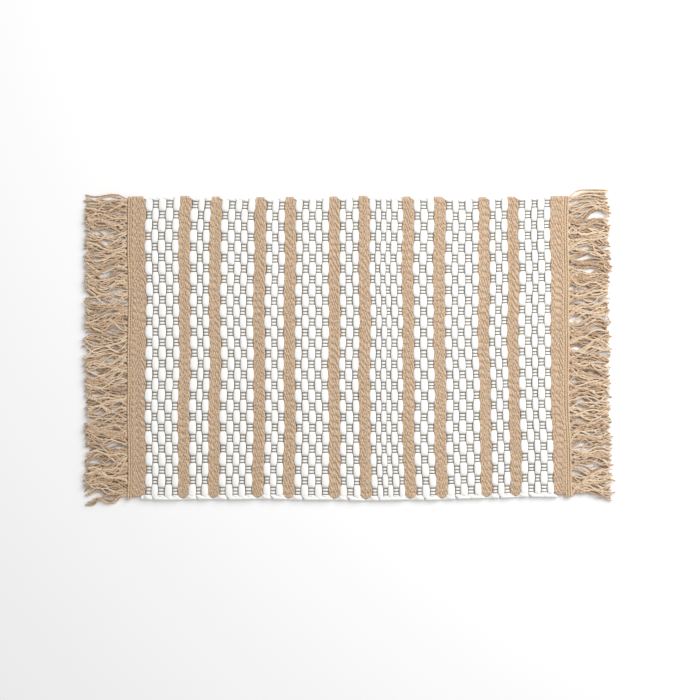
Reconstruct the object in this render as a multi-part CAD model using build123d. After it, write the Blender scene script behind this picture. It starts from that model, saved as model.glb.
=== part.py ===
from build123d import *
import os

# A handwoven cotton bath mat, lying flat. X runs along its length, Y across it and Z up, with the
# underside on Z = 0 and the origin under the middle of the mat.
#
# Thin warp threads run along X in groups of three. Thick white cords cross them in plain weave:
# each cord passes over one group of threads and under the next, and turns back at the edge of the
# mat. Narrow tan bands, woven so densely that they hide the threads, part the white sections. A
# tan hem band closes each end, and a fringe is held there under a few sewn header cords.

# Driving dimensions, in millimetres.
MAT_WIDTH = 500.0  # from one woven edge to the other, along Y
SECTION_PICKS = (5, 3, 5, 3, 5, 3, 6, 3, 5, 3, 5)  # white cord passes in each section
PICK_PITCH = {3: 10.6, 5: 11.0, 6: 8.9}  # the section of six is beaten closer together
BAND_WIDTH = 18.0  # a tan band between two white sections
LEFT_HEM_WIDTH = 21.5
RIGHT_HEM_WIDTH = 18.9
LEFT_HEADER_CORDS = 2
RIGHT_HEADER_CORDS = 3
FRINGE_LENGTH = 71.0  # beyond the outermost header cord

WARP_GROUPS = 28
THREADS_PER_GROUP = 3
GROUP_PITCH = 17.45
THREAD_SPACING = 5.3
THREAD_DIAMETER = 1.6

CORD_THICKNESS = 4.2  # a white cord, pressed flat where it crosses the threads
BAND_THICKNESS = 9.4
HEADER_CORD_DIAMETER = 3.4
HEADER_CORD_PITCH = 3.9
STRAND_DIAMETER = 1.8
STRAND_PITCH = 4.0
TRIM_STEP = 1.5  # the cut ends of the fringe don't line up
TRIM_ORDER = (0, 2, 4, 1, 3)  # steps cut off each strand in turn

CLEARANCE = 0.2  # round each warp thread, and under the header cords
GAP = 0.4  # between neighbouring picks and bands
TURN_LENGTH = 5.4  # how far a cord's turn reaches in from the edge
TURN_RADIUS = 4.0
BAND_END_RADIUS = 6.0
BAND_EDGE_RADIUS = 1.6

# Heights that follow from them.
THREAD_ROOM = THREAD_DIAMETER + 2 * CLEARANCE
MID_HEIGHT = CORD_THICKNESS + THREAD_ROOM / 2
OVER_HEIGHT = MID_HEIGHT + (THREAD_ROOM + CORD_THICKNESS) / 2
UNDER_HEIGHT = CORD_THICKNESS / 2
GROUP_SPAN = (THREADS_PER_GROUP - 1) * THREAD_SPACING + THREAD_ROOM


def section_width(picks):
    return picks * PICK_PITCH[picks]


def group_centre(group):
    """The Y of a group of warp threads, from the first at +Y to the last at -Y."""
    return ((WARP_GROUPS - 1) / 2 - group) * GROUP_PITCH


def thread_centres(group):
    first = group_centre(group) - (THREADS_PER_GROUP - 1) / 2 * THREAD_SPACING
    return [first + number * THREAD_SPACING for number in range(THREADS_PER_GROUP)]


def cord_pass(centre_x, width, first_over):
    """One pass of a white cord across the mat, over and under the warp groups by turns."""
    far = MAT_WIDTH / 2 - TURN_LENGTH
    line = [(far, MID_HEIGHT)]
    for group in range(WARP_GROUPS):
        over = (group % 2 == 0) == first_over
        height = OVER_HEIGHT if over else UNDER_HEIGHT
        line.append((group_centre(group) + GROUP_SPAN / 2, height))
        line.append((group_centre(group) - GROUP_SPAN / 2, height))
    line.append((-far, MID_HEIGHT))
    half = CORD_THICKNESS / 2
    top = [(y, z + half) for y, z in line]
    bottom = [(y, z - half) for y, z in reversed(line)]
    profile = make_face(Polyline(*top, *bottom, close=True))
    return Pos(centre_x - width / 2, 0, 0) * extrude(Plane.YZ * profile, width)


def cord_turn(low_x, high_x, side):
    """The stretch at the woven edge that joins two passes, or ends one, with rounded corners."""
    flat = Rectangle(high_x - low_x, TURN_LENGTH)
    outer = flat.vertices().group_by(Axis.Y)[-1]
    flat = fillet(outer, TURN_RADIUS)
    block = extrude(flat, CORD_THICKNESS)
    if side < 0:
        block = Rot(0, 0, 180) * block
    middle_x = (low_x + high_x) / 2
    middle_y = side * (MAT_WIDTH - TURN_LENGTH) / 2
    return Pos(middle_x, middle_y, MID_HEIGHT - CORD_THICKNESS / 2) * block


def white_section(start_x, picks, first_pick):
    """One white cord laid to and fro, its passes joined at alternate edges of the mat."""
    pitch = PICK_PITCH[picks]
    width = pitch - GAP
    centres = [start_x + (number + 0.5) * pitch for number in range(picks)]
    pieces = [
        cord_pass(x, width, (first_pick + number) % 2 == 0)
        for number, x in enumerate(centres)
    ]
    side = 1
    for left, right in zip(centres, centres[1:]):
        pieces.append(cord_turn(left - width / 2, right + width / 2, side))
        side = -side
    pieces.append(cord_turn(centres[0] - width / 2, centres[0] + width / 2, -1))
    pieces.append(cord_turn(centres[-1] - width / 2, centres[-1] + width / 2, side))
    return pieces[0] + pieces[1:]


def woven_band(start_x, width):
    """A dense tan band: a solid body with one slot for each group of warp threads."""
    profile = Rectangle(MAT_WIDTH - GAP, BAND_THICKNESS)
    profile = fillet(profile.vertices(), BAND_EDGE_RADIUS)
    profile = Pos(0, BAND_THICKNESS / 2) * profile
    slots = [
        Pos(group_centre(group), MID_HEIGHT) * Rectangle(GROUP_SPAN, THREAD_ROOM)
        for group in range(WARP_GROUPS)
    ]
    band = extrude(Plane.YZ * (profile - slots), width - GAP)
    return Pos(start_x + GAP / 2, 0, 0) * band


def rounded_band(start_x, width):
    """A tan band whose two ends are also rounded as seen from above."""
    band = woven_band(start_x, width)
    plan = Rectangle(width - GAP, MAT_WIDTH - GAP)
    plan = fillet(plan.vertices(), BAND_END_RADIUS)
    outline = extrude(plan, BAND_THICKNESS)
    return band & (Pos(start_x + width / 2, 0, 0) * outline)


def warp_group(group, low_x, high_x):
    """Three straight threads that run from hem to hem."""
    thread = extrude(Plane.YZ * Circle(THREAD_DIAMETER / 2), high_x - low_x)
    return [Pos(low_x, y, MID_HEIGHT) * thread for y in thread_centres(group)]


def header_cords(first_x, count, direction):
    """Cords that run across the end of the mat, on top of the fringe that they hold."""
    height = STRAND_DIAMETER + CLEARANCE + HEADER_CORD_DIAMETER / 2
    length = MAT_WIDTH - GAP
    cord = extrude(Plane.XZ * Circle(HEADER_CORD_DIAMETER / 2), length / 2, both=True)
    return [
        Pos(first_x + direction * number * HEADER_CORD_PITCH, 0, height) * cord
        for number in range(count)
    ]


def fringe(root_x, tip_x):
    """Loose strands that lie on the floor beyond the hem, uneven in length."""
    count = int((MAT_WIDTH - STRAND_PITCH) // STRAND_PITCH) + 1
    length = abs(tip_x - root_x)
    direction = 1 if tip_x > root_x else -1
    strands = []
    for number in range(count):
        y = (number - (count - 1) / 2) * STRAND_PITCH
        trim = TRIM_ORDER[number % len(TRIM_ORDER)] * TRIM_STEP
        strand = extrude(Plane.YZ * Circle(STRAND_DIAMETER / 2), direction * (length - trim))
        strands.append(Pos(root_x, y, STRAND_DIAMETER / 2) * strand)
    return strands


def write(node, shapes):
    solids = [solid for shape in shapes for solid in shape.solids()]
    export_step(Compound(children=solids), f"parts/{node}.step")
    print(node, len(solids), "solid(s)")


os.makedirs("parts", exist_ok=True)

woven_width = sum(section_width(picks) for picks in SECTION_PICKS)
woven_width += BAND_WIDTH * (len(SECTION_PICKS) - 1)
left_header_width = LEFT_HEADER_CORDS * HEADER_CORD_PITCH
right_header_width = RIGHT_HEADER_CORDS * HEADER_CORD_PITCH
body_length = woven_width + LEFT_HEM_WIDTH + RIGHT_HEM_WIDTH
body_length += left_header_width + right_header_width
total_length = body_length + 2 * FRINGE_LENGTH
print("body", body_length, "overall", total_length, "thickness", OVER_HEIGHT + CORD_THICKNESS / 2)

# The left end: header cords on the fringe, then the hem band.
tip_left = -total_length / 2
hem_left = tip_left + FRINGE_LENGTH + left_header_width
write("fringe_left", fringe(hem_left, tip_left))
write("header_cords_left", header_cords(hem_left - HEADER_CORD_PITCH / 2, LEFT_HEADER_CORDS, -1))
write("hem_band_left", [woven_band(hem_left, LEFT_HEM_WIDTH)])

# The white sections and the tan bands between them.
x = hem_left + LEFT_HEM_WIDTH
first_pick = 0
for index, picks in enumerate(SECTION_PICKS, start=1):
    write(f"white_cord_{index:02d}", [white_section(x, picks, first_pick)])
    x += section_width(picks)
    first_pick += picks
    if index < len(SECTION_PICKS):
        write(f"tan_band_{index:02d}", [rounded_band(x, BAND_WIDTH)])
        x += BAND_WIDTH

# The right end.
hem_right = x + RIGHT_HEM_WIDTH
write("hem_band_right", [woven_band(x, RIGHT_HEM_WIDTH)])
write("header_cords_right", header_cords(hem_right + HEADER_CORD_PITCH / 2, RIGHT_HEADER_CORDS, 1))
write("fringe_right", fringe(hem_right, -tip_left))

# The warp threads, from hem to hem through every pick.
for group in range(WARP_GROUPS):
    write(f"warp_group_{group + 1:02d}", warp_group(group, hem_left, hem_right))
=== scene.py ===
import math

import bmesh
import bpy
import numpy as np
from bpy.props import FloatProperty, FloatVectorProperty, IntProperty, PointerProperty
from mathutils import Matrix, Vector


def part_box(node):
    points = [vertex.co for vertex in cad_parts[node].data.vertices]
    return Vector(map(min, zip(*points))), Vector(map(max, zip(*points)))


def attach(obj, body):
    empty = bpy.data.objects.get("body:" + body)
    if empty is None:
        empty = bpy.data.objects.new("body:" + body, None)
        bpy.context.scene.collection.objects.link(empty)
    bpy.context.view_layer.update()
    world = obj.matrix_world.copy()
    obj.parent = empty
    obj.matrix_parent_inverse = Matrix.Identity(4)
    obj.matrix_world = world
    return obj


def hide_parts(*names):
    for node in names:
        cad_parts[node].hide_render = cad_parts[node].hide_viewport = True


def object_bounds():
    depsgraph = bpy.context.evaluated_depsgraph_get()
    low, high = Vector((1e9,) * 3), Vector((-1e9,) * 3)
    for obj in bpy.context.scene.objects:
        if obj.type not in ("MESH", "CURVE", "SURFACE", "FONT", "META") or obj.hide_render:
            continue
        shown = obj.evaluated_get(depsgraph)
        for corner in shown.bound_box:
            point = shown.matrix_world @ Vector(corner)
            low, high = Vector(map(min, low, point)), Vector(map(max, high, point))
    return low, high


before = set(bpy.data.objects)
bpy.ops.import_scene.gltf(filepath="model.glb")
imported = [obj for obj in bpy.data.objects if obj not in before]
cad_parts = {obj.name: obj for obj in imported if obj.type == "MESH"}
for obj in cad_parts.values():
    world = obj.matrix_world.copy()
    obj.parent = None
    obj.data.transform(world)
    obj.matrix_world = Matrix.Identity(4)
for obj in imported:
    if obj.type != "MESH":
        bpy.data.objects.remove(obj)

bl_info = {
    "name": "Handwoven Bath Mat",
    "version": (1, 0, 0),
    "blender": (4, 5, 0),
    "location": "View3D > Sidebar > Bath Mat",
    "description": "Weaves a cotton bath mat of white cords, tan bands and fringe",
    "category": "Object",
}

# Everything here is in metres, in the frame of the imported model. X runs along the mat, Y across it
# and Z up. Each yarn starts as a straight closed tube and is then laid along its own line.

MM = 0.001
CAD_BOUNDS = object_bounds()

# What the frame says about the weave.
WHITE_CORDS = sorted(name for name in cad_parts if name.startswith("white_cord_"))
TAN_BANDS = sorted(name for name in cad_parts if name.startswith("tan_band_"))
WARP_GROUPS = sorted(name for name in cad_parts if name.startswith("warp_group_"))
PASSES = (5, 3, 5, 3, 5, 3, 6, 3, 5, 3, 5)  # how often each white cord crosses the mat


def middle(node, axis):
    """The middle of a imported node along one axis: 0 for X, 1 for Y, 2 for Z."""
    low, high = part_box(node)
    return (low[axis] + high[axis]) / 2


GROUP_Y = np.array([middle(name, 1) for name in WARP_GROUPS])
GROUP_PITCH = (GROUP_Y[0] - GROUP_Y[-1]) / (len(GROUP_Y) - 1)
GROUP_LOW, GROUP_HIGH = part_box(WARP_GROUPS[0])
THREAD_STEP = (GROUP_HIGH[1] - GROUP_LOW[1] - (GROUP_HIGH[2] - GROUP_LOW[2])) / 2
THREAD_Y = (GROUP_Y[:, None] + np.array([1, 0, -1]) * THREAD_STEP).ravel()
MID_Z = (GROUP_HIGH[2] + GROUP_LOW[2]) / 2
EDGE_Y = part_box(WHITE_CORDS[0])[1][1]
TOP_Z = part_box(WHITE_CORDS[0])[1][2]
BAND_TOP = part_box(TAN_BANDS[0])[1][2]


def linear(hex_colour):
    """An sRGB hex colour as the linear values that the shader takes."""
    parts = [int(hex_colour[i : i + 2], 16) / 255 for i in (1, 3, 5)]
    return [c / 12.92 if c <= 0.04045 else ((c + 0.055) / 1.055) ** 2.4 for c in parts] + [1.0]


# ---------------------------------------------------------------- settings


class MatSizes(bpy.types.PropertyGroup):
    """The sizes that set the look of the weave"""

    pressed_height: FloatProperty(
        name="Pressed height",
        description="Height of a white cord's top where the warp threads press on it",
        default=6.5 * MM,
        unit="LENGTH",
    )
    dome_reach: FloatProperty(
        name="Dome reach",
        description="Half length of the swell between threads, as a share of the group pitch",
        default=0.645,
        subtype="FACTOR",
    )
    cord_gap: FloatProperty(
        name="Cord gap",
        description="Mean gap between neighbouring passes of white cord",
        default=0.45 * MM,
        unit="LENGTH",
    )
    thread_thickness: FloatProperty(
        name="Warp thread",
        description="Thickness of one warp thread with its down",
        default=1.7 * MM,
        unit="LENGTH",
    )
    band_picks: IntProperty(
        name="Picks in a band",
        description="How often the fine yarn crosses the mat in one tan band",
        default=14,
    )
    pick_height: FloatProperty(
        name="Pick height",
        description="Height of the fine yarn in the bands, squeezed tall by its neighbours",
        default=7.0 * MM,
        unit="LENGTH",
    )
    fringe_strands: IntProperty(
        name="Fringe strands",
        description="Strands in the fringe at each end",
        default=310,
    )
    left_bunches: FloatProperty(
        name="Left bunches",
        description="Distance between the bunches of strands at the left end",
        default=10.7 * MM,
        unit="LENGTH",
    )
    right_bunches: FloatProperty(
        name="Right bunches",
        description="Distance between the bunches of strands at the right end",
        default=14.0 * MM,
        unit="LENGTH",
    )
    strand_thickness: FloatProperty(
        name="Fringe strand",
        description="Thickness of one strand of the fringe",
        default=3.0 * MM,
        unit="LENGTH",
    )
    seed: IntProperty(
        name="Seed",
        description="Number that sets the small irregularities of handwork",
        default=7,
    )


def colour_setting(name, description, hex_colour):
    return FloatVectorProperty(
        name=name,
        description=description,
        default=linear(hex_colour),
        size=4,
        min=0.0,
        max=1.0,
        subtype="COLOR",
    )


class MatColours(bpy.types.PropertyGroup):
    """The colours of the yarns"""

    cord: colour_setting("White cord", "Bleached cotton cord", "#faf9f6")
    # The cord flank colour below is painted shade: the cords' flanks are coloured towards it where
    # neighbouring cords touch, in place of the shade that falls between them.
    cord_flank_shade: colour_setting("Cord flank", "White cord low on its sides", "#efece6")
    # The deep and light colours of the dyed yarns below are reached by uneven dye and random tone,
    # and also by painted shade in the grooves between plies and painted light on their crests.
    band_deep: colour_setting("Band, deep", "Tan band yarn where it took most dye", "#c2a78a")
    band_light: colour_setting("Band, light", "Tan band yarn where it took least dye", "#dfc7ad")
    header_deep: colour_setting("Header, deep", "Header cord in its grooves", "#c0a280")
    header_light: colour_setting("Header, light", "Header cord on its crests", "#e6cdaf")
    fringe_deep: colour_setting("Fringe, deep", "Darkest strands of the fringe", "#9d7854")
    fringe_light: colour_setting("Fringe, light", "Lightest strands of the fringe", "#efd9be")
    warp_deep: colour_setting("Warp, deep", "Warp thread in its grooves", "#746d65")
    warp_light: colour_setting("Warp, light", "Warp thread on its crests", "#9a9387")


# ---------------------------------------------------------------- yarn tools

TUBE_SPACING = 10.0  # between the straight tubes, before they are laid


def straight_tubes(count, rings, sides):
    """Closed upright tubes in a row, each cut across into rings."""
    bm = bmesh.new()
    for number in range(count):
        made = bmesh.ops.create_cone(
            bm, cap_ends=True, segments=sides, radius1=1, radius2=1, depth=1
        )
        place = (TUBE_SPACING * number, 0, 0.5)
        bmesh.ops.translate(bm, verts=made["verts"], vec=place)
    upright = [e for e in bm.edges if abs(e.verts[0].co.z - e.verts[1].co.z) > 0.5]
    bmesh.ops.subdivide_edges(bm, edges=upright, cuts=rings - 2)
    return bm


def lay(name, centre, side, up, wide, high, sides, tone, square=2.0):
    """Lays one tube along each line and makes them one piece.

    centre, side and up are arrays of tube, ring and XYZ; wide and high are half sizes of the
    section for each tube and ring. A square of 2 is an ellipse, and more is boxier. tone and
    square are one value for each tube, or for each tube and ring.
    """
    count, rings = centre.shape[:2]
    bm = straight_tubes(count, rings, sides)
    mesh = bpy.data.meshes.new(name)
    bm.to_mesh(mesh)
    bm.free()
    flat = np.zeros(len(mesh.vertices) * 3)
    mesh.vertices.foreach_get("co", flat)
    flat = flat.reshape(-1, 3)
    tube = np.rint(flat[:, 0] / TUBE_SPACING).astype(int)
    ring = np.rint(flat[:, 2] * (rings - 1)).astype(int)
    turn = np.arctan2(flat[:, 1], flat[:, 0] - TUBE_SPACING * tube)
    where = (tube, ring)
    power = 2 / np.broadcast_to(square, (count, rings))[where]
    across = np.sign(np.cos(turn)) * np.abs(np.cos(turn)) ** power
    along_up = np.sign(np.sin(turn)) * np.abs(np.sin(turn)) ** power
    points = centre[where] + side[where] * (wide[where] * across)[:, None]
    points = points + up[where] * (high[where] * along_up)[:, None]
    points = settle(points)
    mesh.vertices.foreach_set("co", points.ravel())
    steps = np.linalg.norm(np.diff(centre, axis=1), axis=2)
    length = np.concatenate([np.zeros((count, 1)), np.cumsum(steps, axis=1)], axis=1)
    around = np.stack([np.cos(turn), np.sin(turn), length[where]], axis=1)
    mesh.attributes.new("yarn", "FLOAT_VECTOR", "POINT").data.foreach_set(
        "vector", around.ravel()
    )
    tones = np.broadcast_to(np.reshape(tone, (count, -1)), (count, rings))
    mesh.attributes.new("tone", "FLOAT", "POINT").data.foreach_set("value", tones[where])
    mesh.polygons.foreach_set("use_smooth", np.ones(len(mesh.polygons), bool))
    mesh.update()
    bm = bmesh.new()
    bm.from_mesh(mesh)
    bmesh.ops.recalc_face_normals(bm, faces=bm.faces)
    bm.to_mesh(mesh)
    bm.free()
    piece = bpy.data.objects.new(name, mesh)
    bpy.context.scene.collection.objects.link(piece)
    return piece


def settle(points):
    """Shifts points as the weave lies: it leans, wanders and tapers a little.

    Everything on the mat goes through it, so all pieces keep their fit.
    """
    x, y, z = points[..., 0], points[..., 1], points[..., 2]
    from_top = np.clip(EDGE_Y - y, 0, None)
    down = np.clip(from_top / (2 * EDGE_Y), 0, 1)
    low_part = np.clip((80 * MM - y) / (330 * MM), 0, 1) ** 2
    lean = 5.5 * MM * (0.35 + 0.75 * np.sin(math.pi * (x - 20 * MM) / 0.5))
    wander = 0.7 * MM * np.sin(y / 0.041 + x / 0.055) + 0.5 * MM * np.sin(y / 0.023 - x / 0.09)
    sway = 0.9 * MM * np.sin(x / 0.052 + 1.0) + 0.4 * MM * np.sin(x / 0.017)

    # Some sections lie a little to one side, and the weave leans to +X near the +Y edge.
    aside = 2.3 * MM * np.exp(-(((x - 187 * MM) / (65 * MM)) ** 4))
    aside = aside - 2 * MM * smooth_step((x - 290 * MM) / (40 * MM))
    near_top = np.exp(-from_top / (35 * MM))
    top_lean = 4 * MM * np.exp(-(((x + 140 * MM) / (130 * MM)) ** 4)) * near_top

    # The mat tapers: away from the +Y edge everything lies higher, most of all at the right end.
    left_end = smooth_step((-100 * MM - x) / (200 * MM))
    right_end = smooth_step((x - 140 * MM) / (200 * MM))
    rise = 0.2 * MM + 1.4 * MM * down**2 + 1.2 * MM * left_end
    rise = rise + right_end * (2.5 * MM + 3.2 * MM * down)
    rise = rise * smooth_step(from_top / (15 * MM))
    moved_x = x + low_part * lean + wander + aside + top_lean
    return np.stack([moved_x, y + sway * y / EDGE_Y + rise, z], axis=-1)


def smooth_step(value):
    value = np.clip(value, 0, 1)
    return value * value * (3 - 2 * value)


def blend(start, end, share):
    return start + (end - start) * share


def constant_axis(shape, axis):
    """The same unit axis for every ring of every tube."""
    made = np.zeros((*shape, 3))
    made[..., axis] = 1
    return made


def ride_on_mat(piece, slot, material, *nodes):
    """Everything on the mat moves with its one body."""
    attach(piece, "root")
    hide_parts(*nodes)
    piece.data.materials.append(material)


# ---------------------------------------------------------------- materials


def add(tree, kind, settings=None, **inputs):
    """Adds a node, with its settings, and its inputs as values or links."""
    made = tree.nodes.new(kind)
    for name, value in (settings or {}).items():
        setattr(made, name, value)
    for name, value in inputs.items():
        key = int(name[1:]) if name[0] == "n" and name[1:].isdigit() else name.replace("_", " ")
        if isinstance(value, bpy.types.NodeSocket):
            tree.links.new(value, made.inputs[key])
        else:
            made.inputs[key].default_value = value
    return made


def new_material(name):
    material = bpy.data.materials.new(name)
    material.use_nodes = True
    tree = material.node_tree
    return material, tree, tree.nodes["Principled BSDF"]


def set_matt_cotton(shader):
    """Cotton is matt, with a faint soft sheen from the down on its fibres."""
    shader.inputs["Roughness"].default_value = 0.93
    shader.inputs["Specular IOR Level"].default_value = 0.2
    shader.inputs["Sheen Weight"].default_value = 0.13
    shader.inputs["Sheen Roughness"].default_value = 0.6


def twist_wave(tree, plies, pitch):
    """A wave that runs round a yarn and along it, as its twisted plies do."""
    yarn = add(tree, "ShaderNodeAttribute", {"attribute_name": "yarn"})
    parts = add(tree, "ShaderNodeSeparateXYZ", Vector=yarn.outputs["Vector"])
    angle = add(
        tree,
        "ShaderNodeMath",
        {"operation": "ARCTAN2"},
        n0=parts.outputs["Y"],
        n1=parts.outputs["X"],
    )
    turns = add(
        tree, "ShaderNodeMath", {"operation": "MULTIPLY"}, n0=angle.outputs[0], n1=float(plies)
    )
    travel = add(
        tree,
        "ShaderNodeMath",
        {"operation": "MULTIPLY_ADD"},
        n0=parts.outputs["Z"],
        n1=2 * math.pi / pitch,
        n2=turns.outputs[0],
    )
    return add(tree, "ShaderNodeMath", {"operation": "SINE"}, n0=travel.outputs[0]).outputs[0]


def soft_white_cord(colours):
    """Bleached cotton cord, loosely spun: matt and downy, with painted shade on its flanks where
    neighbouring cords touch.
    """
    material, tree, shader = new_material("soft_white_cotton_cord")
    spot = add(tree, "ShaderNodeTexCoord").outputs["Object"]
    yarn = add(tree, "ShaderNodeAttribute", {"attribute_name": "yarn"})
    around = add(tree, "ShaderNodeSeparateXYZ", Vector=yarn.outputs["Vector"])
    sideways = add(
        tree, "ShaderNodeMath", {"operation": "ABSOLUTE"}, n0=around.outputs["X"]
    ).outputs[0]
    # Painted shade: where neighbouring passes touch, the cords' flanks are coloured towards the
    # flank colour in place of the shade that falls in the crevices between them.
    flank = add(tree, "ShaderNodeMapRange", {"interpolation_type": "SMOOTHSTEP"}, Value=sideways)
    flank.inputs["From Min"].default_value = 0.8
    flank.inputs["From Max"].default_value = 1.0
    touching = add(tree, "ShaderNodeAttribute", {"attribute_name": "tone"}).outputs["Fac"]
    painted_flank_shade = add(
        tree, "ShaderNodeMath", {"operation": "MULTIPLY"}, n0=flank.outputs[0], n1=touching
    )
    colour = add(
        tree,
        "ShaderNodeMix",
        {"data_type": "RGBA"},
        n0=painted_flank_shade.outputs[0],
        n6=colours.cord,
        n7=colours.cord_flank_shade,
    )
    tree.links.new(colour.outputs[2], shader.inputs["Base Color"])
    fibre = add(tree, "ShaderNodeTexNoise", Vector=spot, Scale=1400.0, Detail=2.0)
    fold = twist_wave(tree, 3, 14 * MM)
    height = add(
        tree,
        "ShaderNodeMath",
        {"operation": "MULTIPLY_ADD"},
        n0=fibre.outputs["Fac"],
        n1=0.6,
        n2=fold,
    )
    bump = add(
        tree, "ShaderNodeBump", Height=height.outputs[0], Strength=0.14, Distance=0.25 * MM
    )
    tree.links.new(bump.outputs[0], shader.inputs["Normal"])
    set_matt_cotton(shader)
    return material


def spun_cotton(name, deep, light, plies, pitch, tone_range=0.3, groove_shade_share=0.12, depth=0.35):
    """Dyed two-ply cotton: matt, with uneven dye, and painted shade in the grooves between its plies
    and painted light on their crests.
    """
    material, tree, shader = new_material(name)
    spot = add(tree, "ShaderNodeTexCoord").outputs["Object"]
    dye = add(tree, "ShaderNodeTexNoise", Vector=spot, Scale=260.0, Detail=4.0)
    tone = add(tree, "ShaderNodeAttribute", {"attribute_name": "tone"})
    groove = twist_wave(tree, plies, pitch)
    # The twist wave darkens the colour in the grooves between plies and lightens it on their crests:
    # painted shade and painted light. The dye noise and the tone are the yarn's own.
    mixed = add(
        tree,
        "ShaderNodeMath",
        {"operation": "MULTIPLY_ADD"},
        n0=groove,
        n1=groove_shade_share,
        n2=dye.outputs["Fac"],
    )
    shade = add(
        tree,
        "ShaderNodeMath",
        {"operation": "MULTIPLY_ADD"},
        n0=tone.outputs["Fac"],
        n1=tone_range,
        n2=mixed.outputs[0],
    )
    reach = add(tree, "ShaderNodeMapRange", Value=shade.outputs[0])
    reach.inputs["From Min"].default_value = 0.25 + tone_range * 0.1
    reach.inputs["From Max"].default_value = 0.75 + tone_range * 0.9
    colour = add(
        tree, "ShaderNodeMix", {"data_type": "RGBA"}, n0=reach.outputs[0], n6=deep, n7=light
    )
    tree.links.new(colour.outputs[2], shader.inputs["Base Color"])
    fibre = add(tree, "ShaderNodeTexNoise", Vector=spot, Scale=900.0, Detail=2.0)
    height = add(
        tree,
        "ShaderNodeMath",
        {"operation": "MULTIPLY_ADD"},
        n0=fibre.outputs["Fac"],
        n1=0.7,
        n2=groove,
    )
    bump = add(
        tree, "ShaderNodeBump", Height=height.outputs[0], Strength=depth, Distance=0.3 * MM
    )
    tree.links.new(bump.outputs[0], shader.inputs["Normal"])
    set_matt_cotton(shader)
    return material


def tan_band_yarn(colours):
    """Fine tan two-ply yarn, beaten down so tightly that only its crests show."""
    ready = bpy.data.materials.get("tan_two_ply_cotton")
    if ready:
        return ready
    return spun_cotton(
        "tan_two_ply_cotton",
        colours.band_deep,
        colours.band_light,
        2,
        5.5 * MM,
        groove_shade_share=0.06,
        depth=0.2,
    )


def header_yarn(colours):
    """The same cotton laid up into thicker cord, with clear grooves between its plies, darkened by
    painted shade.
    """
    return spun_cotton(
        "tan_header_cord_cotton", colours.header_deep, colours.header_light, 2, 5.5 * MM
    )


def fringe_yarn(colours):
    """Loose two-ply cotton strands that differ clearly in shade."""
    return spun_cotton(
        "tan_fringe_cotton", colours.fringe_deep, colours.fringe_light, 2, 6 * MM, tone_range=0.8
    )


def warp_thread(colours):
    """Thin hard-twisted cotton, taupe."""
    return spun_cotton("taupe_warp_cotton", colours.warp_deep, colours.warp_light, 2, 3.5 * MM)


# ---------------------------------------------------------------- white cords

# A cord's line is an array with a row for each ring: the X and Y of its left side and of its right
# side, as they lie on a walk along the cord, and then its top and its bottom.

RING_PLACES = (0, 0.13, 0.24, 0.31, 0.35, 0.41, 0.5, 0.59, 0.65, 0.69, 0.76, 0.87)  # of each pitch
TURN_Y = EDGE_Y - 6.2 * MM  # just outside the outermost warp thread
TURN_THICK = 4.2 * MM  # half the cord's thickness in its turns
CORNER_FILL = 1.8 * MM  # how far a turn presses into the next one
CORNER = 0.26  # power of the sine and cosine in a turn's outline: the lower, the squarer
CORD_SIDES = 16


def swell(groups, parity, reach, height):
    """How far a cord has swelled, from 0 to 1, between the threads that press on it.

    groups is the place across the mat, counted in warp groups from the first; the cord swells at
    every group of the given parity.
    """
    nearest = np.clip(2 * np.rint((groups - parity) / 2) + parity, parity, len(GROUP_Y) - 1)
    nearest = np.where((nearest - parity) % 2 == 1, nearest - 1, nearest)
    off = np.clip(np.abs(groups - nearest) / reach, 0, 1)
    dome = (1 - off**3.4) ** 0.45
    return dome * height[nearest.astype(int)]


def cord_levels(y, parity, sizes, rng):
    """The top and bottom of a white cord's pass, and how far it is over or under."""
    groups = (GROUP_Y[0] - y) / GROUP_PITCH
    uneven = 1 - 0.08 * rng.random(len(GROUP_Y))
    over = swell(groups, parity, sizes.dome_reach, uneven)
    under = swell(groups, 1 - parity, sizes.dome_reach, np.ones(len(GROUP_Y)))
    nearest = np.clip(np.rint(groups), 0, len(GROUP_Y) - 1).astype(int)
    off = np.abs(y - GROUP_Y[nearest])
    between = np.where(off < THREAD_STEP, np.sin(math.pi * off / THREAD_STEP) ** 2, 0)
    pressed = sizes.pressed_height + 0.5 * MM * between
    top = blend(pressed, TOP_Z, over)
    bottom = TOP_Z - blend(pressed, TOP_Z, under)
    return top, bottom, over - under


def cord_pass(x, pitch, parity, beside_band, sizes, rng):
    """One pass from -Y to +Y; beside a band on its left, its swells press into the band."""
    groups = np.add.outer(np.arange(-1, len(GROUP_Y) + 1), RING_PLACES).ravel()
    y = GROUP_Y[0] - groups[::-1] * GROUP_PITCH
    y = np.concatenate([[-TURN_Y], y[np.abs(y) < TURN_Y - 0.5 * MM], [TURN_Y]])
    top, bottom, lift = cord_levels(y, parity, sizes, rng)
    ends = smooth_step((np.abs(y) - TURN_Y + 2.5 * MM) / (2.5 * MM))
    top = blend(top, MID_Z + TURN_THICK, ends)
    bottom = blend(bottom, MID_Z - TURN_THICK, ends)
    drift = np.interp(y, GROUP_Y[::-1], rng.normal(0, 0.14 * MM, len(GROUP_Y)))
    drift = drift + rng.normal(0, 0.12 * MM)
    plump = np.cos(math.pi * ((GROUP_Y[0] - y) / GROUP_PITCH - parity))
    half = pitch / 2 - sizes.cord_gap / 2 + 0.7 * MM * plump
    if beside_band:
        half = half + 0.2 * MM * lift
        drift = drift - 0.4 * MM * lift
    half = blend(half, pitch / 2 - 0.2 * MM, ends)
    return np.stack([x + drift - half, y, x + drift + half, y, top, bottom], axis=1)


def walked_back(line):
    """The same stretch of cord, from its other end."""
    return line[::-1][:, [2, 3, 0, 1, 4, 5]]


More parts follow.
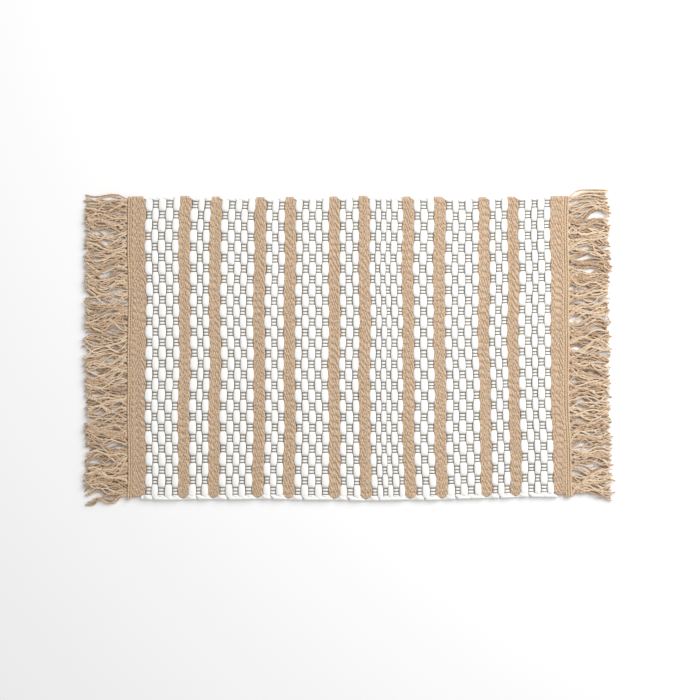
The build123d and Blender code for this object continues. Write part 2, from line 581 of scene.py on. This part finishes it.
def cord_turn(start, end, side):
    """The flat turn at a woven edge, from the last ring of one pass to the first of the next."""
    angle = np.linspace(0, math.pi, 20)[1:-1]
    line = np.repeat(start[None], len(angle), axis=0)
    outer, inner = ((0, 1), (2, 3)) if side > 0 else ((2, 3), (0, 1))
    fill = CORNER_FILL * np.sin(angle) ** CORNER
    across = np.sign(np.cos(angle)) * np.abs(np.cos(angle)) ** CORNER
    middle_x = (start[0] + end[2]) / 2
    line[:, outer[0]] = middle_x - across * ((end[outer[0]] - start[outer[0]]) / 2 + fill)
    line[:, outer[1]] += side * (EDGE_Y - TURN_Y) * np.sin(angle) ** CORNER
    line[:, inner[0]] = middle_x - np.cos(angle) * (end[inner[0]] - start[inner[0]]) / 2
    line[:, inner[1]] += side * 0.8 * MM * np.sin(angle)
    return line


def loose_end(last, side):
    """A cord's cut end, carried on to the woven edge and rounded off; rings from the cord out."""
    more = np.array([[0.35], [0.7], [0.92], [1.0]]) * (EDGE_Y - TURN_Y)
    fade = np.array([[1.0], [0.96], [0.82], [0.45]])
    line = np.repeat(last[None], len(more), axis=0)
    line[:, [1, 3]] += side * more
    line[:, [0, 2]] = blend((last[0] + last[2]) / 2, last[[0, 2]], fade)
    line[:, 4:] = blend(last[4:].mean(), last[4:], fade)
    return line


def carried_end(last, far):
    """A cord's end carried left along the -Y edge, past the end of the band or hem beside it."""
    angle = np.linspace(0, math.pi / 2, 9)[1:]
    corner = np.repeat(last[None], len(angle), axis=0)
    corner[:, 1] += 2.4 * MM * np.sin(angle) ** 2
    corner[:, 2] = last[0] + (last[2] - last[0] + CORNER_FILL) * np.cos(angle) ** CORNER
    corner[:, 3] -= (EDGE_Y - TURN_Y) * np.sin(angle) ** CORNER
    run = np.repeat(corner[-1:], 12, axis=0)
    share = np.linspace(0, 1, 13)[1:]
    run[:, [0, 2]] -= (far * share)[:, None]
    run[:, 4] -= 0.85 * TURN_THICK * np.sin(math.pi * share) ** 0.6  # room for the band's tip
    slim = np.array([[0.85], [0.45]])
    middle_y = (run[-1, 1] + run[-1, 3]) / 2
    run[-2:, [1, 3]] = blend(middle_y, run[-2:, [1, 3]], slim)
    run[-2:, 4:] = blend(run[-1, 4:].mean(), run[-2:, 4:], slim)
    return np.concatenate([corner, run])


def cord_line(index, passes, first, sizes, rng):
    """The whole line of one white cord, laid to and fro across the mat."""
    low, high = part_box(WHITE_CORDS[index])
    sides = np.linspace(low[0], high[0], passes + 1)
    sides[1:-1] += rng.normal(0, 0.4 * MM, passes - 1)
    parts = []
    for number, (start, end) in enumerate(zip(sides, sides[1:])):
        parity = (first + number) % 2
        made = cord_pass((start + end) / 2, end - start, parity, number == 0, sizes, rng)
        parts.append(walked_back(made) if number % 2 else made)
    whole = [parts[0]]
    for number, part in enumerate(parts[1:]):
        side = -1 if number % 2 else 1
        whole += [cord_turn(whole[-1][-1], part[0], side), part]
    reach = 6.5 * MM  # under the end of the left hem
    if index:
        band_low, band_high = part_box(TAN_BANDS[index - 1])
        reach = band_high[0] - band_low[0] + 2.5 * MM
    whole.insert(0, carried_end(parts[0][0], reach)[::-1])
    last = parts[-1][-1]
    whole.append(loose_end(last, np.sign(last[1])))
    return np.concatenate(whole)


class MAT_OT_white_cords(bpy.types.Operator):
    """Lay the thick white cords, each to and fro over and under the warp groups"""

    bl_idname = "mat.white_cords"
    bl_label = "White Cords"

    def execute(self, context):
        sizes = context.scene.mat_sizes
        material = soft_white_cord(context.scene.mat_colours)
        first = 0
        for index, (node, passes) in enumerate(zip(WHITE_CORDS, PASSES)):
            rng = np.random.default_rng(sizes.seed + 100 + index)
            line = cord_line(index, passes, first, sizes, rng)
            left, right, top, bottom = line[:, 0:2], line[:, 2:4], line[:, 4], line[:, 5]
            centre = np.column_stack([(left + right) / 2, (top + bottom) / 2])[None]
            half = np.linalg.norm(right - left, axis=1) / 2
            side = np.column_stack([(right - left) / (2 * half[:, None]), np.zeros(len(line))])[None]
            up = constant_axis(side.shape[:2], 2)
            high = ((top - bottom) / 2)[None]
            # touching also goes to the cord as its tone, and so sets where its flanks get painted
            # shade: along the passes, not round the turns and ends.
            touching = np.clip((TURN_Y - np.abs(centre[0, :, 1])) / (4 * MM), 0, 1)
            square = blend(3.4, 2.8, touching)
            name = f"white_cord_{index + 1:02d}_woven"
            piece = lay(name, centre, side, up, half[None], high, CORD_SIDES, touching, square)
            ride_on_mat(piece, "white_cord", material, node)
            first += passes
        return {"FINISHED"}


# ---------------------------------------------------------------- tan bands and hems

PICK_OFFSET = 0.72  # how far each pick's crests lie along from its neighbour's, in thread steps
BLUNT_END = EDGE_Y + 0.3 * MM
TIP_LENGTH = 10 * MM


def fine_picks(node, count, sizes, rng, press_left, press_right, pivot, tip_width, tip_y):
    """Fine yarns side by side, each over one warp thread and under the next by turns.

    press_left and press_right are how far the band's edges give way at each Y. The band narrows
    at its -Y end towards the X given as pivot, to the share tip_width, and ends at tip_y.
    """
    low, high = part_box(node)
    pitch = (high[0] - low[0]) / count
    knots = np.concatenate([[BLUNT_END], THREAD_Y, [tip_y]])
    place = np.arange(-1, len(THREAD_Y) + 1)
    steps = np.linspace(-1, len(THREAD_Y), (len(THREAD_Y) + 1) * 4 + 1)
    y = np.interp(steps, place, knots)
    half_high = sizes.pick_height / 2
    rise = BAND_TOP / 2 - half_high
    tip = smooth_step((tip_y + TIP_LENGTH - y) / TIP_LENGTH)
    rounded = np.sqrt(1 - np.clip((tip_y + TIP_LENGTH - y) / TIP_LENGTH, 0, 1) ** 2)
    narrow = blend(tip_width, 1, rounded)
    fade = np.ones(len(y))
    fade[[0, -1]] = (0.55, 0.7)
    centre = np.zeros((count, len(y), 3))
    wide = np.zeros((count, len(y)))
    tall = np.zeros((count, len(y)))
    for number in range(count):
        spot = (number + 0.5) / count
        from_middle = abs(number + 0.5 - count / 2)
        shift = rng.normal(0, 0.3)
        shift = shift + np.interp(steps, place[::6], rng.normal(0, 0.35, len(place[::6])))
        phase = math.pi * (steps + from_middle * PICK_OFFSET + shift)
        wave = np.cos(phase)
        slant = -1 if spot < 0.5 else 1
        x = low[0] + (number + 0.5) * pitch + slant * 0.25 * MM * np.sin(phase)
        x = x + np.interp(y, *press_left) * math.exp(-spot * 6)
        x = x - np.interp(y, *press_right) * math.exp(-(1 - spot) * 6)
        x = x + np.interp(steps, place[::4], rng.normal(0, 0.12 * MM, len(place[::4])))
        slub = 1 + np.interp(steps, place[::3], rng.normal(0, 0.06, len(place[::3])))
        centre[number, :, 0] = pivot + (x - pivot) * narrow
        centre[number, :, 1] = y + abs(2 * spot - 1) ** 2 * tip * 1.5 * MM
        lift = rise * np.sign(wave) * np.abs(wave) ** 0.6
        centre[number, :, 2] = BAND_TOP / 2 + lift * (1 - 0.5 * tip)
        wide[number] = pitch * (0.98 + 0.3 * np.abs(wave)) * slub * fade * narrow
        tall[number] = half_high * fade * (1 - 0.1 * tip)
    return centre, wide, tall


def edge_press(parity, depth):
    """How far a white cord beside a band pushes the band's edge in, at each Y."""
    y = np.linspace(-EDGE_Y, EDGE_Y, 800)
    groups = (GROUP_Y[0] - y) / GROUP_PITCH
    fade = np.clip((EDGE_Y - 6 * MM - y) / (9 * MM), 0, 1)
    return y, depth * fade * np.cos(math.pi * (groups + parity))


def lay_band(node, count, sizes, material, seed, press_left, press_right, pivot, tip_width, tip_y):
    rng = np.random.default_rng(seed)
    centre, wide, tall = fine_picks(
        node, count, sizes, rng, press_left, press_right, pivot, tip_width, tip_y
    )
    shape = centre.shape[:2]
    across = constant_axis(shape, 0)
    up = constant_axis(shape, 2)
    piece = lay(f"{node}_woven", centre, across, up, wide, tall, 6, rng.random(count))
    ride_on_mat(piece, "tan_yarn", material, node)


class MAT_OT_tan_bands(bpy.types.Operator):
    """Weave the narrow tan bands, so dense that they hide the warp threads"""

    bl_idname = "mat.tan_bands"
    bl_label = "Tan Bands"

    def execute(self, context):
        sizes = context.scene.mat_sizes
        material = tan_band_yarn(context.scene.mat_colours)
        passed = 0
        for index, node in enumerate(TAN_BANDS):
            passed += PASSES[index]
            left = edge_press((passed - 1) % 2, 0.3 * MM)
            right = edge_press(passed % 2, 0.8 * MM)
            seed = sizes.seed + 200 + index
            tip_y = -EDGE_Y + 2.4 * MM
            tip_width = 0.3 + 0.25 * (seed * 0.618 % 1)
            count, pivot = sizes.band_picks, middle(node, 0)
            lay_band(node, count, sizes, material, seed, left, right, pivot, tip_width, tip_y)
        return {"FINISHED"}


class MAT_OT_hem_bands(bpy.types.Operator):
    """Weave the wider tan band that closes each end of the mat"""

    bl_idname = "mat.hem_bands"
    bl_label = "Hem Bands"

    def execute(self, context):
        sizes = context.scene.mat_sizes
        material = tan_band_yarn(context.scene.mat_colours)
        band_low, band_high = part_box(TAN_BANDS[0])
        pick = (band_high[0] - band_low[0]) / sizes.band_picks
        straight = edge_press(0, 0)
        presses = {
            "hem_band_left": (straight, edge_press(0, 0.8 * MM)),
            "hem_band_right": (edge_press((sum(PASSES) - 1) % 2, 0.3 * MM), straight),
        }
        for number, (node, (left, right)) in enumerate(presses.items()):
            low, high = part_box(node)
            count = round((high[0] - low[0]) / pick)
            seed = sizes.seed + 300 + number
            tip_y = -EDGE_Y + 4.2 * MM
            pivot = low[0] if number == 0 else high[0]
            lay_band(node, count, sizes, material, seed, left, right, pivot, 0.7, tip_y)
        return {"FINISHED"}


# ---------------------------------------------------------------- warp threads


class MAT_OT_warp_threads(bpy.types.Operator):
    """Run the thin warp threads from hem to hem, three to a group"""

    bl_idname = "mat.warp_threads"
    bl_label = "Warp Threads"

    def execute(self, context):
        sizes = context.scene.mat_sizes
        material = warp_thread(context.scene.mat_colours)
        radius = sizes.thread_thickness / 2
        crimp = sizes.pressed_height + radius * 0.8 - MID_Z
        x, lift = self.crossings()
        for index, node in enumerate(WARP_GROUPS):
            rng = np.random.default_rng(sizes.seed + 400 + index)
            sign = 1 if index % 2 == 0 else -1
            centre = np.zeros((3, len(x), 3))
            for number in range(3):
                knots = np.linspace(x[0], x[-1], 24)
                wobble = np.interp(x, knots, rng.normal(0, 0.14 * MM, len(knots)))
                y = GROUP_Y[index] + (1 - number) * THREAD_STEP + wobble
                centre[number] = np.stack([x, y, MID_Z + sign * crimp * lift], axis=1)
            shape = centre.shape[:2]
            across = constant_axis(shape, 1)
            up = constant_axis(shape, 2)
            thick = np.full(shape, radius)
            piece = lay(f"{node}_threads", centre, across, up, thick, thick, 5, rng.random(3))
            ride_on_mat(piece, "warp_thread", material, node)
        return {"FINISHED"}

    def crossings(self):
        """Where a thread's rings lie along X, and how far it is over or under the cord there."""
        low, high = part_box(WARP_GROUPS[0])
        stations, lifts = [low[0]], [0.0]
        column = 0
        for node, passes in zip(WHITE_CORDS, PASSES):
            start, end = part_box(node)[0][0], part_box(node)[1][0]
            pitch = (end - start) / passes
            for number in range(passes):
                for share in (-0.5, -0.43, -0.3, -0.1, 0.1, 0.3, 0.43):
                    stations.append(start + (number + 0.5 + share) * pitch)
                    sign = 1 if column % 2 else -1
                    lifts.append(sign * (1 - abs(2 * share) ** 4))
                column += 1
            stations.append(end)
            lifts.append(0.0)
        return np.array([*stations, high[0]]), np.array([*lifts, 0.0])


# ---------------------------------------------------------------- header cords and fringe


def across_and_up(centre):
    """Level side and upright axes for lines that run mostly level."""
    travel = np.gradient(centre, axis=1)
    travel /= np.linalg.norm(travel, axis=2)[..., None]
    side = np.cross(travel, [0, 0, 1])
    side /= np.linalg.norm(side, axis=2)[..., None]
    return side, np.cross(side, travel)


def twisted(centre, offset, pitch, plies, start):
    """The lines of the plies that twist round each line."""
    side, up = across_and_up(centre)
    steps = np.linalg.norm(np.diff(centre, axis=1), axis=2)
    length = np.concatenate([np.zeros((len(centre), 1)), np.cumsum(steps, axis=1)], axis=1)
    made = []
    for ply in range(plies):
        turn = 2 * math.pi * (length / pitch + ply / plies) + start[:, None]
        around = np.cos(turn)[..., None] * side + np.sin(turn)[..., None] * up
        made.append(centre + offset * around)
    return np.concatenate(made), np.concatenate([side] * plies), np.concatenate([up] * plies)


STRAND_PILE = 2.2 * MM  # how far the crossing strands under the header cords lift them


class MAT_OT_header_cords(bpy.types.Operator):
    """Lay the twisted header cords that hold the fringe at each end"""

    bl_idname = "mat.header_cords"
    bl_label = "Header Cords"

    def execute(self, context):
        sizes = context.scene.mat_sizes
        material = header_yarn(context.scene.mat_colours)
        counts = {"header_cords_left": 2, "header_cords_right": 3}
        for number, (node, count) in enumerate(counts.items()):
            rng = np.random.default_rng(sizes.seed + 500 + number)
            low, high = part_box(node)
            radius = (high[2] - low[2]) / 2
            xs = np.linspace(low[0] + radius, high[0] - radius, count)
            y = np.linspace(low[1], high[1], 330)
            centre = np.zeros((count, len(y), 3))
            for index, x in enumerate(xs):
                centre[index, :, 0] = x + 0.15 * MM * np.sin(y / 0.013 + index)
                centre[index, :, 1] = y
                centre[index, :, 2] = (low[2] + high[2]) / 2 + STRAND_PILE
            start = rng.uniform(0, 2 * math.pi, count)
            lines, side, up = twisted(centre, radius * 0.25, 9 * MM, 2, start)
            half = np.full(lines.shape[:2], radius * 0.98)
            piece = lay(f"{node}_twisted", lines, side, up, half, half, 6, rng.random(len(lines)))
            ride_on_mat(piece, "header_cord", material, node)
        return {"FINISHED"}


STRAND_RINGS = 46


def strand_line(root_y, way, fan, sway, reach, rng):
    """One loose strand as seen from above, from its root at X = 0 outwards along +X.

    sway is the size, length and start of the wave that it shares with its bunch.
    """
    along = np.linspace(0, reach * 1.06, STRAND_RINGS)
    share = along / along[-1]
    size, length, start = sway
    size = size * rng.uniform(0.6, 1.3)
    start = start + rng.normal(0, 0.7)
    crimp_length, crimp_start = rng.uniform(10 * MM, 18 * MM), rng.uniform(0, 2 * math.pi)
    turn = way + fan * np.exp(-share * 3.5) + rng.normal(0, 0.35) * (share - 0.4)
    turn = turn + size * np.sin(2 * math.pi * along / length + start)
    turn = turn + rng.uniform(0.03, 0.16) * np.sin(2 * math.pi * along / crimp_length + crimp_start)
    step = along[1]
    x = np.concatenate([[0], np.cumsum(np.cos(turn[1:]) * step)])
    y = root_y + np.concatenate([[0], np.cumsum(np.sin(turn[1:]) * step)])
    return x * reach / x[-1], y


def kept_near(y):
    """Strands at the corners stray a little beyond the mat, but never far."""
    free, room = EDGE_Y + 4 * MM, 9 * MM
    beyond = np.maximum(np.abs(y) - free, 0)
    return np.where(beyond > 0, np.sign(y) * (free + room * (1 - np.exp(-beyond / room))), y)


def strand_lines(node, header, spacing, sizes, rng):
    """Loose strands in bunches: fanned at their roots, crossing, and cut roughly level."""
    low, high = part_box(node)
    header_low, header_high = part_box(header)
    outward = 1 if middle(node, 0) > 0 else -1
    root_x = header_high[0] if outward > 0 else header_low[0]
    covered = header_high[0] - header_low[0]
    length = high[0] - low[0] - covered
    bunches = round((high[1] - low[1]) / spacing)
    per_bunch = round(sizes.fringe_strands / bunches)
    lean, trim = (-0.2, -3.3 * MM) if outward < 0 else (0.0, -6.5 * MM)
    lines = []
    for bunch in range(bunches):
        root_y = blend(low[1], high[1], (bunch + 0.5) / bunches) + rng.normal(0, 0.8 * MM)
        corner = abs(2 * (bunch + 0.5) / bunches - 1) ** 10 * np.sign(root_y)
        bunch_way = rng.normal(0, 0.08) + 0.05 * corner
        sway = (rng.uniform(0.25, 0.65), rng.uniform(40 * MM, 75 * MM), rng.uniform(0, 2 * math.pi))
        fans = lean + rng.normal(0, 0.25) + rng.permutation(np.linspace(-0.75, 0.75, per_bunch))
        spots = np.linspace(-0.22, 0.22, per_bunch) * spacing
        for fan, spot in zip(fans, spots):
            reach = length + min(rng.normal(trim, 2.8 * MM), 3 * MM)
            way = bunch_way + rng.normal(0, 0.2) - (fan - lean) * 0.15
            start_y = root_y + spot + rng.normal(0, 0.4 * MM)
            x, y = strand_line(start_y, way, fan + rng.normal(0, 0.12), sway, reach, rng)
            tucked = np.array([covered * 0.8, covered * 0.4])  # under the header cords
            x = np.concatenate([-tucked, x])
            y = kept_near(np.concatenate([[start_y, start_y], y]))
            lines.append(np.stack([root_x + outward * x, y, x], axis=1))
    return np.array(lines)


def pile_up(lines, radius, cell=1 * MM, steepest=0.45, loft=5 * MM):
    """Lays strands on the floor one after another, each over those that are already there.

    Each line comes with its distance from the root as its third value, and leaves with its
    height. The header cords hold it down; beside them it stands up a little, and further out the
    pile settles to about loft.
    """
    low = lines[..., :2].min(axis=(0, 1)) - 4 * MM
    span = lines[..., :2].max(axis=(0, 1)) + 4 * MM - low
    tops = np.zeros(np.ceil(span / cell).astype(int) + 1)
    near = [(i, j) for i in (-1, 0, 1) for j in (-1, 0, 1)]
    for line in lines:
        held = np.where(line[:, 2] < 0, 0, STRAND_PILE + 1 * MM + line[:, 2] * 0.5)
        cells = np.rint((line[:, :2] - low) / cell).astype(int)
        under = np.max([tops[cells[:, 0] + i, cells[:, 1] + j] for i, j in near], axis=0)
        steps = np.linalg.norm(np.diff(line[:, :2], axis=0), axis=1)
        length = np.concatenate([[0], np.cumsum(steps)])
        falls = steepest * np.abs(length[:, None] - length[None])
        stands = 3 * MM * np.exp(-(((line[:, 2] - 2 * MM) / (5 * MM)) ** 2))
        height = np.minimum(np.maximum(np.max(under[None] - falls, axis=1), stands), held)
        for i, j in near:
            place = (cells[:, 0] + i, cells[:, 1] + j)
            np.maximum.at(tops, place, height + radius * 1.5)
        line[:, 2] = radius + loft * (1 - np.exp(-height / loft))
    return lines


class MAT_OT_fringe(bpy.types.Operator):
    """Scatter the crinkled strands of the fringe at each end"""

    bl_idname = "mat.fringe"
    bl_label = "Fringe"

    def execute(self, context):
        sizes = context.scene.mat_sizes
        material = fringe_yarn(context.scene.mat_colours)
        radius = sizes.strand_thickness / 2
        spacings = {"left": sizes.left_bunches, "right": sizes.right_bunches}
        for number, (end, spacing) in enumerate(spacings.items()):
            node = f"fringe_{end}"
            rng = np.random.default_rng(sizes.seed + 600 + number)
            lines = strand_lines(node, f"header_cords_{end}", spacing, sizes, rng)
            lines = pile_up(lines[rng.permutation(len(lines))], radius * 1.12)
            side, up = across_and_up(lines)
            half = radius * rng.uniform(0.8, 1.12, (len(lines), 1)) * np.ones(lines.shape[:2])
            half[:, -1] *= 0.6
            tone = rng.random(len(lines))
            piece = lay(f"{node}_strands", lines, side, up, half, half, 6, tone)
            ride_on_mat(piece, "fringe_yarn", material, node)
        return {"FINISHED"}


# ---------------------------------------------------------------- pieces woven with each cord


class MAT_OT_declare_cloth(bpy.types.Operator):
    """Gather, for each white cord, the names of the pieces woven with it: the band beside it, and at
    the ends the hem, header cords, fringe and warp threads; nothing is done with these lists.
    """

    bl_idname = "mat.declare_cloth"
    bl_label = "Declare Cloth"

    def execute(self, context):
        for index, node in enumerate(WHITE_CORDS):
            with_pieces = []
            if index < len(TAN_BANDS):
                with_pieces.append(f"{TAN_BANDS[index]}_woven")
            if index == 0:
                with_pieces += self.end_pieces("left")
                with_pieces += [f"{name}_threads" for name in WARP_GROUPS]
            if index == len(WHITE_CORDS) - 1:
                with_pieces += self.end_pieces("right")
        return {"FINISHED"}

    def end_pieces(self, end):
        return [f"hem_band_{end}_woven", f"header_cords_{end}_twisted", f"fringe_{end}_strands"]


# ---------------------------------------------------------------- stage


def aim(thing, place, target):
    thing.location = place
    thing.rotation_euler = (Vector(target) - Vector(place)).to_track_quat("-Z", "Y").to_euler()


class MAT_OT_stage(bpy.types.Operator):
    """Set up the pale floor, the soft light and the camera straight above"""

    bl_idname = "mat.stage"
    bl_label = "Stage"

    def execute(self, context):
        scene = context.scene
        scene.view_settings.view_transform = "Standard"
        bm = bmesh.new()
        bmesh.ops.create_grid(bm, x_segments=1, y_segments=1, size=6.0)
        mesh = bpy.data.meshes.new("floor")
        bm.to_mesh(mesh)
        bm.free()
        floor = bpy.data.objects.new("floor", mesh)
        scene.collection.objects.link(floor)
        material, tree, shader = new_material("white_studio_paper")
        shader.inputs["Base Color"].default_value = linear("#fcfcfc")
        shader.inputs["Roughness"].default_value = 0.9
        shader.inputs["Specular IOR Level"].default_value = 0.1
        mesh.materials.append(material)

        world = bpy.data.worlds.new("studio")
        world.use_nodes = True
        background = world.node_tree.nodes["Background"]
        background.inputs["Color"].default_value = (1.0, 1.0, 1.0, 1.0)
        background.inputs["Strength"].default_value = 0.525
        scene.world = world

        lamp = bpy.data.lights.new("window_light", "AREA")
        lamp.shape = "DISK"
        lamp.size = 2.4
        lamp.energy = 65.0
        window = bpy.data.objects.new("window_light", lamp)
        scene.collection.objects.link(window)
        aim(window, (1.4, 1.2, 1.8), (0.1, 0.05, 0))

        camera_data = bpy.data.cameras.new("camera")
        camera_data.sensor_width = 36.0
        camera = bpy.data.objects.new("camera", camera_data)
        scene.collection.objects.link(camera)
        height = 3.0
        length = CAD_BOUNDS[1][0] - CAD_BOUNDS[0][0]
        seen_width = length / 0.75429  # the mat fills about three quarters of the view
        camera_data.lens = 36.0 * height / seen_width
        camera.location = (1.6 * MM, -2 * MM, height)
        scene.camera = camera
        return {"FINISHED"}


class MAT_PT_panel(bpy.types.Panel):
    """The mat's settings and the steps that make it"""

    bl_idname = "MAT_PT_panel"
    bl_label = "Handwoven Bath Mat"
    bl_space_type = "VIEW_3D"
    bl_region_type = "UI"
    bl_category = "Bath Mat"

    def draw(self, context):
        scene = context.scene
        for settings in (scene.mat_sizes, scene.mat_colours):
            for name in type(settings).__annotations__:
                self.layout.prop(settings, name)
        for step in STEPS:
            self.layout.operator(step.bl_idname)


STEPS = (
    MAT_OT_white_cords,
    MAT_OT_tan_bands,
    MAT_OT_hem_bands,
    MAT_OT_warp_threads,
    MAT_OT_header_cords,
    MAT_OT_fringe,
    MAT_OT_declare_cloth,
    MAT_OT_stage,
)
CLASSES = (MatSizes, MatColours, *STEPS, MAT_PT_panel)


def register():
    for cls in CLASSES:
        bpy.utils.register_class(cls)
    bpy.types.Scene.mat_sizes = PointerProperty(type=MatSizes)
    bpy.types.Scene.mat_colours = PointerProperty(type=MatColours)


def unregister():
    del bpy.types.Scene.mat_colours
    del bpy.types.Scene.mat_sizes
    for cls in reversed(CLASSES):
        bpy.utils.unregister_class(cls)


def main():
    register()
    bpy.ops.mat.white_cords()
    bpy.ops.mat.tan_bands()
    bpy.ops.mat.hem_bands()
    bpy.ops.mat.warp_threads()
    bpy.ops.mat.header_cords()
    bpy.ops.mat.fringe()
    bpy.ops.mat.declare_cloth()
    bpy.ops.mat.stage()


if __name__ == "__main__":
    main()
